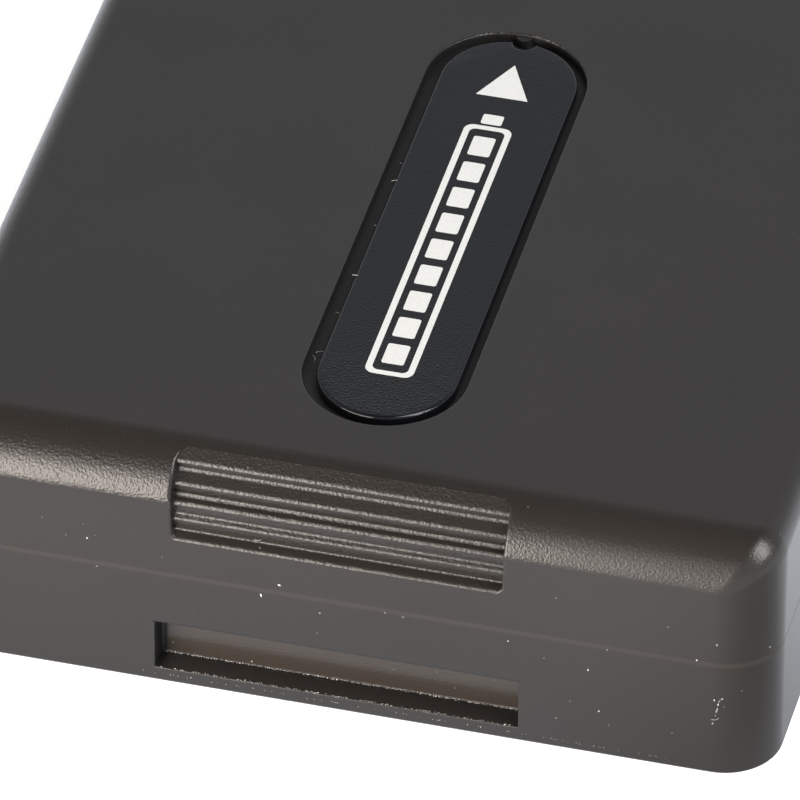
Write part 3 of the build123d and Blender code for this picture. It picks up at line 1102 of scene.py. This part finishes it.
@dataclass
class InnerParts:
    """What the case holds: cells, padding, strips, the board and the contacts."""

    def build(self) -> None:
        """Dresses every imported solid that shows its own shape."""
        finishes = {
            CELL_ALUMINIUM: ("upper_cell", "lower_cell"),
            ADHESIVE: ("cell_tape", "top_pad", "bottom_pad"),
            FOAM: ("tail_cushion",),
            FIBRE_PAPER: ("end_insulator",),
            NICKEL: ("negative_tab", "positive_tab", "link_tab"),
            CUTOFF_RESIN: ("thermal_cutoff",),
            SOLDER_MASK: ("circuit_board",),
            CHIP_EPOXY: ("protection_chip", "gauge_chip", "switch_transistors"),
            CERAMIC: ("sense_resistor", "chip_resistors", "chip_capacitors", "thermistor"),
            CARRIER_NYLON: ("terminal_block",),
            GOLD: ("negative_contact", "data_contact", "positive_contact"),
        }
        for finish, names in finishes.items():
            for name in names:
                dress_node(name, finish)


@dataclass
class Wear:
    """Dust bits, crumb specks, painted glints and lint where they lie on the pack, and fine dust all over its outside.
    """

    seed: int = 7
    # Least and greatest size of a grain along its three axes, for a width of 1
    grain_least: Point = (0.5, 0.35, 0.2)
    grain_most: Point = (1.6, 0.8, 0.45)
    fine_per_m2: float = 60000.0
    fine_mm: Pair = (0.015, 0.04)
    outside_mm: float = 0.02
    crumb_glint_step_mm: float = 0.09
    crumb_glint_drift_mm: Point = (0.035, 0.0, 0.035)
    # Shape of a fibre of length 1: an arc's points, radius and sweep, and the thread's sides and thickness
    curl_points: int = 9
    curl_radius: float = 0.7
    curl_sweep: float = 1.4
    fibre_sides: int = 6
    fibre_thickness: float = 0.035

    # Place and width of each dust bit, in millimetres
    bits: tuple[tuple[float, float, float, float], ...] = (
        (-4.48, -23.13, 12.29, 0.07), (-5.63, -23.76, 10.85, 0.05), (-3.61, -24.34, 8.74, 0.08),
        (-2.67, -24.5, 6.88, 0.13), (-3.52, -24.5, 6.11, 0.14), (-8.19, -24.5, 7.38, 0.06),
        (2.32, -24.5, 6.27, 0.07), (8.57, -22.95, 12.55, 0.07), (4.54, -22.71, 12.65, 0.05),
        (-11.91, -24.5, 8.55, 0.07), (-11.73, -24.5, 7.77, 0.15), (-12.73, -24.5, 7.74, 0.05),
        (-11.35, -24.5, 8.02, 0.05), (-11.28, -24.5, 6.21, 0.07), (-13.85, -24.5, 8.56, 0.05),
        (-14.64, -24.5, 3.25, 0.05), (10.3, -24.5, 8.82, 0.08), (8.09, -24.5, 5.82, 0.11),
        (9.78, -24.5, 5.18, 0.06), (11.84, -24.5, 4.9, 0.09), (16.9, -24.5, 6.56, 0.16),
        (17.81, -24.5, 7.63, 0.1), (19.99, -23.2, 6.93, 0.08), (12.71, -24.5, 6.27, 0.06),
        (17.74, -24.5, 4.37, 0.1), (17.93, -24.49, 4.11, 0.13), (18.1, -24.46, 4.48, 0.11),
        (17.84, -24.49, 3.68, 0.1), (17.72, -24.5, 3.0, 0.09), (18.2, -24.44, 4.01, 0.07),
        (10.39, -24.5, 1.74, 0.1), (12.39, -24.5, 2.58, 0.09), (11.03, -24.5, 2.89, 0.06),
        (12.87, -24.5, 1.85, 0.06), (15.52, -24.5, 8.21, 0.06), (15.82, -24.5, 2.0, 0.06),
        (18.95, -24.17, 4.9, 0.05), (-8.03, -23.3, 1.4, 0.08), (-4.28, -23.3, 1.06, 0.09),
        (4.48, -23.3, 2.25, 0.05), (5.33, -23.3, 1.48, 0.06), (-0.74, -24.5, 5.63, 0.08),
        (3.16, -24.5, 6.21, 0.08), (-0.88, -24.5, 4.41, 0.06), (7.21, -23.3, 2.36, 0.06),
        (13.12, -20.81, 12.8, 0.06), (20.01, -21.83, 12.4, 0.05), (-13.07, -22.9, 12.58, 0.05),
    )
    # Two ends of each line of pale specks, how many of the places hold one, and its width; along the latch pocket and
    # the bottom edge they are painted glints, at the scuff they are crumb specks
    crumb_and_glint_lines: tuple[tuple[Point, Point, float, float], ...] = (
        ((-8.3, -23.36, 0.86), (8.3, -23.36, 0.86), 0.75, 0.075),
        ((-8.3, -24.46, 0.81), (8.3, -24.46, 0.81), 0.6, 0.06),
        ((-9.5, -24.5, 0.45), (16.5, -24.5, 0.45), 0.22, 0.05),
        ((18.05, -24.47, 4.55), (17.65, -24.5, 2.95), 0.55, 0.07),
    )
    # Place of each fibre, its turn about x, y and z in degrees, and its length
    fibres: tuple[tuple[Point, Point, float], ...] = (
        ((-3.8, -24.15, 9.24), (90, 80, 0), 0.35), ((2.36, -23.31, 2.1), (90, 60, 0), 0.22),
        ((-3.34, 0.25, 12.27), (0, 0, 70), 0.5), ((-3.09, -1.65, 12.78), (0, 0, 100), 0.4),
        ((-3.36, -4.7, 12.27), (0, 0, 60), 0.6), ((-3.12, -9.19, 12.78), (0, 0, 75), 0.6),
        ((-3.5, -11.39, 12.27), (0, 0, 50), 0.5), ((-3.35, -14.34, 12.27), (0, 0, 110), 0.45),
        ((-3.83, -14.69, 12.27), (0, 0, 30), 0.4), ((17.71, -24.51, 3.48), (90, 65, 0), 0.4),
    )

    def build(self, halves: list[Piece]) -> None:
        """Makes the dust, the crumbs and the lint.

        Args:
            halves: mouldings that the fine dust lies on.
        """
        for piece in (self.fine_dust(halves), self.dust_bits(), self.crumbs_and_glints(), self.lint()):
            fit(piece, Slot.CASE)

    def start(self, name: str, finish: Finish) -> NodeShop:
        """Tree with the seed that all wear shares.

        Args:
            name: the tree's name.
            finish: finish of what it makes.

        Returns:
            The tree.
        """
        shop = NodeShop(name, finish)
        shop.value("Seed", "Int", self.seed)
        return shop

    def marked_points(self, name: str, places: list[Point], **marks: list[float]) -> Piece:
        """Loose points that a tree fills in.

        Args:
            name: name of the piece.
            places: the points in millimetres.
            marks: named numbers, three for each point where they are turns and otherwise one.

        Returns:
            A piece with the points, which carry the numbers.
        """
        mesh = bpy.data.meshes.new(name)
        mesh.from_pydata([Vector(place) * MM for place in places], [], [])
        for key, numbers in marks.items():
            kind, field = ("FLOAT", "value") if len(numbers) == len(places) else ("FLOAT_VECTOR", "vector")
            mesh.attributes.new(key, kind, "POINT").data.foreach_set(field, numbers)
        return link(mesh, name)

    def grains(
        self, shop: NodeShop, points: Socket, width: Socket, selection: Socket | bool = True
    ) -> Socket:
        """Puts an uneven grain on each chosen point.

        Args:
            shop: tree that takes the nodes.
            points: points that hold grains.
            width: width of a grain.
            selection: which points hold one.

        Returns:
            The placed grains.
        """
        ball = shop.add("GeometryNodeMeshIcoSphere", {"Radius": 0.5, "Subdivisions": 1}).outputs[0]
        shape, turn = (
            shop.add(
                "FunctionNodeRandomValue", {LEAST_VECTOR: least, MOST_VECTOR: most, "Seed": shop.entry["Seed"]},
                data_type="FLOAT_VECTOR",
            ).outputs[RANDOM_VECTOR]
            for least, most in ((self.grain_least, self.grain_most), ((0.0,) * 3, (math.tau,) * 3))
        )
        scale = shop.add("ShaderNodeVectorMath", {0: shape, "Scale": width}, operation="SCALE").outputs[0]
        placed = shop.add(
            "GeometryNodeInstanceOnPoints",
            {"Points": points, "Instance": ball, "Rotation": turn, "Scale": scale, "Selection": selection},
        )
        return placed.outputs[0]

    def fine_dust(self, halves: list[Piece]) -> Piece:
        """Fine dust scattered over the flat outer faces.

        Args:
            halves: mouldings that it lies on.

        Returns:
            The dust.
        """
        skin = bmesh.new()
        for half in halves:
            skin.from_mesh(half.data)
        inner = []
        for face in skin.faces:
            middle = face.calc_center_median()
            off = min(abs(middle[axis] - corner[axis]) for axis in range(3) for corner in CAD_BOX)
            if off > self.outside_mm * MM:
                inner.append(face)
        bmesh.ops.delete(skin, geom=inner, context="FACES")
        piece = make_piece(skin, "fine_dust")
        shop = self.start("fine_dust", DUST)
        shop.value("Density", "Float", self.fine_per_m2)
        shop.value("Smallest", "Float", self.fine_mm[0] * MM)
        shop.value("Largest", "Float", self.fine_mm[1] * MM)
        entry = shop.entry
        points = shop.add(
            "GeometryNodeDistributePointsOnFaces",
            {"Mesh": entry["Geometry"], "Density": entry["Density"], "Seed": entry["Seed"]},
        )
        width = shop.add(
            "FunctionNodeRandomValue",
            {LEAST_NUMBER: entry["Smallest"], MOST_NUMBER: entry["Largest"], "Seed": entry["Seed"]},
            data_type="FLOAT",
        )
        shop.finish(self.grains(shop, points.outputs[0], width.outputs[RANDOM_NUMBER]), piece)
        return piece

    def dust_bits(self) -> Piece:
        """Larger bits, each at its own place.

        Returns:
            The bits.
        """
        piece = self.marked_points(
            "dust_bits", [bit[:3] for bit in self.bits], grain_width=[bit[3] * MM for bit in self.bits],
        )
        shop = self.start("dust_bits", CRUMB_AND_GLINT)
        width = shop.add("GeometryNodeInputNamedAttribute", {"Name": "grain_width"}, data_type="FLOAT")
        shop.finish(self.grains(shop, shop.entry["Geometry"], width.outputs[0]), piece)
        return piece

    def crumbs_and_glints(self) -> Piece:
        """Pale specks: painted glints dotted along the latch pocket and the bottom edge, and crumb specks at the
        scuff.

        Returns:
            The specks and painted glints.
        """
        mesh = bpy.data.meshes.new("edge_crumbs_and_glints")
        ends = [Vector(end) * MM for line in self.crumb_and_glint_lines for end in line[:2]]
        mesh.from_pydata(ends, [(2 * index, 2 * index + 1) for index in range(len(self.crumb_and_glint_lines))], [])
        for name, at, unit in (("crumb_glint_share", 2, 1.0), ("crumb_glint_width", 3, MM)):
            values = [line[at] * unit for line in self.crumb_and_glint_lines for _ in line[:2]]
            mesh.attributes.new(name, "FLOAT", "POINT").data.foreach_set("value", values)
        piece = link(mesh, "edge_crumbs_and_glints")
        shop = self.start("edge_crumbs_and_glints", CRUMB_AND_GLINT)
        shop.value("Step", "Float", self.crumb_glint_step_mm * MM)
        shop.value("Drift", "Vector", [part * MM for part in self.crumb_glint_drift_mm])
        entry = shop.entry
        path = shop.add("GeometryNodeMeshToCurve", {"Mesh": entry["Geometry"]})
        dots = shop.add(
            "GeometryNodeResampleCurve", {"Curve": path.outputs[0], "Length": entry["Step"]}, mode="LENGTH",
        )
        way = shop.add(
            "FunctionNodeRandomValue",
            {LEAST_VECTOR: (-1.0,) * 3, MOST_VECTOR: (1.0,) * 3, "Seed": entry["Seed"]},
            data_type="FLOAT_VECTOR",
        ).outputs[RANDOM_VECTOR]
        drift = shop.add("ShaderNodeVectorMath", {0: way, 1: entry["Drift"]}, operation="MULTIPLY")
        moved = shop.add(
            "GeometryNodeSetPosition", {"Geometry": dots.outputs[0], "Offset": drift.outputs[0]},
        )
        share, width = (
            shop.add("GeometryNodeInputNamedAttribute", {"Name": name}, data_type="FLOAT").outputs[0]
            for name in ("crumb_glint_share", "crumb_glint_width")
        )
        kept = shop.add(
            "FunctionNodeRandomValue", {"Probability": share, "Seed": entry["Seed"]}, data_type="BOOLEAN",
        ).outputs[RANDOM_CHOICE]
        shop.finish(self.grains(shop, moved.outputs[0], width, kept), piece)
        return piece

    def lint(self) -> Piece:
        """Short curled fibres.

        Returns:
            The fibres.
        """
        piece = self.marked_points(
            "lint", [place for place, _, _ in self.fibres],
            fibre_turn=[math.radians(angle) for _, turn, _ in self.fibres for angle in turn],
            fibre_length=[length * MM for _, _, length in self.fibres],
        )
        shop = self.start("lint", DUST)
        shop.value("Thickness", "Float", self.fibre_thickness)
        curl = shop.add(
            "GeometryNodeCurveArc",
            {"Resolution": self.curl_points, "Radius": self.curl_radius, "Start Angle": -self.curl_sweep / 2,
             "Sweep Angle": self.curl_sweep},
        )
        ring = shop.add(
            "GeometryNodeCurvePrimitiveCircle", {"Resolution": self.fibre_sides, "Radius": shop.entry["Thickness"]},
        )
        fibre = shop.add(
            "GeometryNodeCurveToMesh",
            {"Curve": curl.outputs[0], "Profile Curve": ring.outputs[0], "Fill Caps": True},
        )
        turn = shop.add("GeometryNodeInputNamedAttribute", {"Name": "fibre_turn"}, data_type="FLOAT_VECTOR")
        length = shop.add("GeometryNodeInputNamedAttribute", {"Name": "fibre_length"}, data_type="FLOAT")
        placed = shop.add(
            "GeometryNodeInstanceOnPoints",
            {"Points": shop.entry["Geometry"], "Instance": fibre.outputs[0], "Rotation": turn.outputs[0],
             "Scale": length.outputs[0]},
        )
        shop.finish(placed.outputs[0], piece)
        return piece


@dataclass(frozen=True)
class Softbox:
    """A soft rectangular lamp, whose radiance says how bright its face is, where 1 is white."""

    name: str
    place_mm: Point
    away: Point
    size_mm: Pair
    radiance: float
    colour: str

    def build(self) -> None:
        """Makes the lamp, which shines away from the direction of its back."""
        data = bpy.data.lights.new(self.name, "AREA")
        data.shape = "RECTANGLE"
        data.size, data.size_y = (side * MM for side in self.size_mm)
        data.energy = self.radiance * math.pi * data.size * data.size_y
        data.color = linear(self.colour)[:3]
        lamp = link(data, self.name)
        lamp.location = Vector(self.place_mm) * MM
        lamp.rotation_euler = Vector(self.away).to_track_quat("Z", "Y").to_euler()


@dataclass
class Studio:
    """White table, soft lamps and the camera at the photograph's place."""

    azimuth: float = 14.1348
    elevation: float = 38.7059
    roll: float = 0.3349
    distance_mm: float = 600.0
    focal_px: float = 13087.07
    across_mm: float = 2.9552
    up_mm: float = 14.2173
    image_px: float = 800.0
    sensor_mm: float = 36.0
    clip_m: Pair = (0.01, 20.0)
    lamps: tuple[Softbox, ...] = (
        Softbox("front_panel", (-140, -175, 17), (0, -1, 0), (230, 116), 11.0, "#fff4ea"),
        Softbox("front_panel_upper", (-140, -175, 110), (0, -1, 0), (230, 70), 3.6, "#fff4ea"),
        Softbox("corner_lamp", (330, -130, 400), (0.64, -0.17, 0.75), (270, 500), 7.3, "#ffffff"),
    )
    # Colours of the surroundings from the table's level to overhead
    surroundings: tuple[tuple[float, str], ...] = (
        (0.0, "#ffffff"), (0.4, "#b8bdc5"), (0.64, "#c8ccd2"), (0.86, "#6c6a68"), (1.0, "#5c5a58"),
    )
    table_m: float = 1.5
    table_front_mm: float = 26.0
    paper_colour: str = "#efefed"
    paper_glow: float = 0.5
    # What reflections show of the sheet: their share, its colour, and how dim it is near one place
    sheet_share: float = 0.8
    sheet_colour: str = "#eef3fd"
    sheet_bright: float = 1.5
    sheet_dim: float = 0.4
    dim_centre_mm: Point = (31.0, -27.0, 0.0)
    fall_off_mm: Pair = (4.0, 24.0)

    def build(self) -> None:
        """Makes the floor, the world, the lamps and the camera."""
        self.floor()
        self.world()
        for lamp in self.lamps:
            lamp.build()
        self.camera()

    def camera(self) -> None:
        """Puts the camera where the photograph was taken from, as its measured lines give it."""
        turn, lift, lean = (math.radians(angle) for angle in (self.azimuth, self.elevation, self.roll))
        back = Vector((math.sin(turn) * math.cos(lift), -math.cos(turn) * math.cos(lift), math.sin(lift)))
        level = Vector((math.cos(turn), math.sin(turn), 0.0))
        rise = back.cross(level)
        right = math.cos(lean) * level + math.sin(lean) * rise
        up = math.cos(lean) * rise - math.sin(lean) * level
        offset = back * self.distance_mm + right * self.across_mm + up * self.up_mm
        data = bpy.data.cameras.new("photo_camera")
        data.sensor_width = self.sensor_mm
        data.lens = self.focal_px / self.image_px * self.sensor_mm
        data.clip_start, data.clip_end = self.clip_m
        camera = link(data, "photo_camera")
        place = Matrix.Translation(Vector((0, TAIL_Y, 0)) + offset * MM)
        camera.matrix_world = place @ Matrix((right, up, back)).transposed().to_4x4()
        bpy.context.scene.camera = camera

    def world(self) -> None:
        """Pale surroundings, white at the table's level and greyer overhead."""
        world = bpy.data.worlds.new("studio_surroundings")
        bpy.context.scene.world = world
        world.use_nodes = True
        tree = world.node_tree
        tree.nodes.clear()
        direction = add_node(tree, "ShaderNodeTexCoord").outputs["Generated"]
        height = add_node(tree, "ShaderNodeSeparateXYZ", {"Vector": direction}).outputs["Z"]
        ramp = add_node(tree, "ShaderNodeValToRGB", {"Fac": height})
        stops = ramp.color_ramp.elements
        for level, _ in self.surroundings[1:-1]:
            stops.new(level)
        for stop, (_, shade) in zip(stops, self.surroundings):
            stop.color = linear(shade)
        glow = add_node(tree, "ShaderNodeBackground", {"Color": ramp.outputs["Color"], "Strength": 1.0})
        add_node(tree, "ShaderNodeOutputWorld", {"Surface": glow.outputs[0]})

    def floor(self) -> None:
        """White table that keeps a soft shadow and looks white to the eye and in reflections."""
        half, front = self.table_m, TAIL_Y - self.table_front_mm * MM
        mesh = bpy.data.meshes.new("white_table")
        mesh.from_pydata([(-half, front, 0), (half, front, 0), (half, half, 0), (-half, half, 0)], [], [(0, 1, 2, 3)])
        table = link(mesh, "white_table")
        material = bpy.data.materials.new("white_paper_sweep")
        material.use_nodes = True
        tree = material.node_tree
        tree.nodes.clear()
        path = add_node(tree, "ShaderNodeLightPath").outputs
        lift, share = (
            add_node(tree, "ShaderNodeMath", {0: path[ray], 1: amount}, operation="MULTIPLY").outputs[0]
            for ray, amount in (("Is Camera Ray", self.paper_glow), ("Is Glossy Ray", self.sheet_share))
        )
        paper = add_node(tree, "ShaderNodeBsdfDiffuse", {"Color": linear(self.paper_colour)})
        glow = add_node(tree, "ShaderNodeEmission", {"Strength": lift})
        seen = add_node(tree, "ShaderNodeAddShader", {0: paper.outputs[0], 1: glow.outputs[0]})
        # In reflections the sheet is bright and cool, and dim in the shade by the pack's right corner
        place = add_node(tree, "ShaderNodeTexCoord").outputs["Object"]
        centre = Vector(self.dim_centre_mm) * MM
        away = add_node(tree, "ShaderNodeVectorMath", {0: place, 1: centre}, operation="DISTANCE").outputs["Value"]
        low, high = (edge * MM for edge in self.fall_off_mm)
        level = add_node(
            tree, "ShaderNodeMapRange",
            {"Value": away, "From Min": low, "From Max": high, "To Min": self.sheet_dim, "To Max": self.sheet_bright},
            interpolation_type="SMOOTHSTEP",
        ).outputs[0]
        shine = add_node(tree, "ShaderNodeEmission", {"Color": linear(self.sheet_colour), "Strength": level})
        both = add_node(tree, "ShaderNodeMixShader", {0: share, 1: seen.outputs[0], 2: shine.outputs[0]})
        add_node(tree, "ShaderNodeOutputMaterial", {"Surface": both.outputs[0]})
        mesh.materials.append(material)


def main() -> None:
    """Builds and dresses the battery, then the studio."""
    logging.basicConfig(level=logging.INFO, format="%(name)s: %(message)s")
    bpy.context.scene.view_settings.view_transform = "Standard"
    halves = Case().build()
    Label().build()
    InnerParts().build()
    Wear().build(halves)
    Studio().build()


if __name__ == "__main__":
    main()
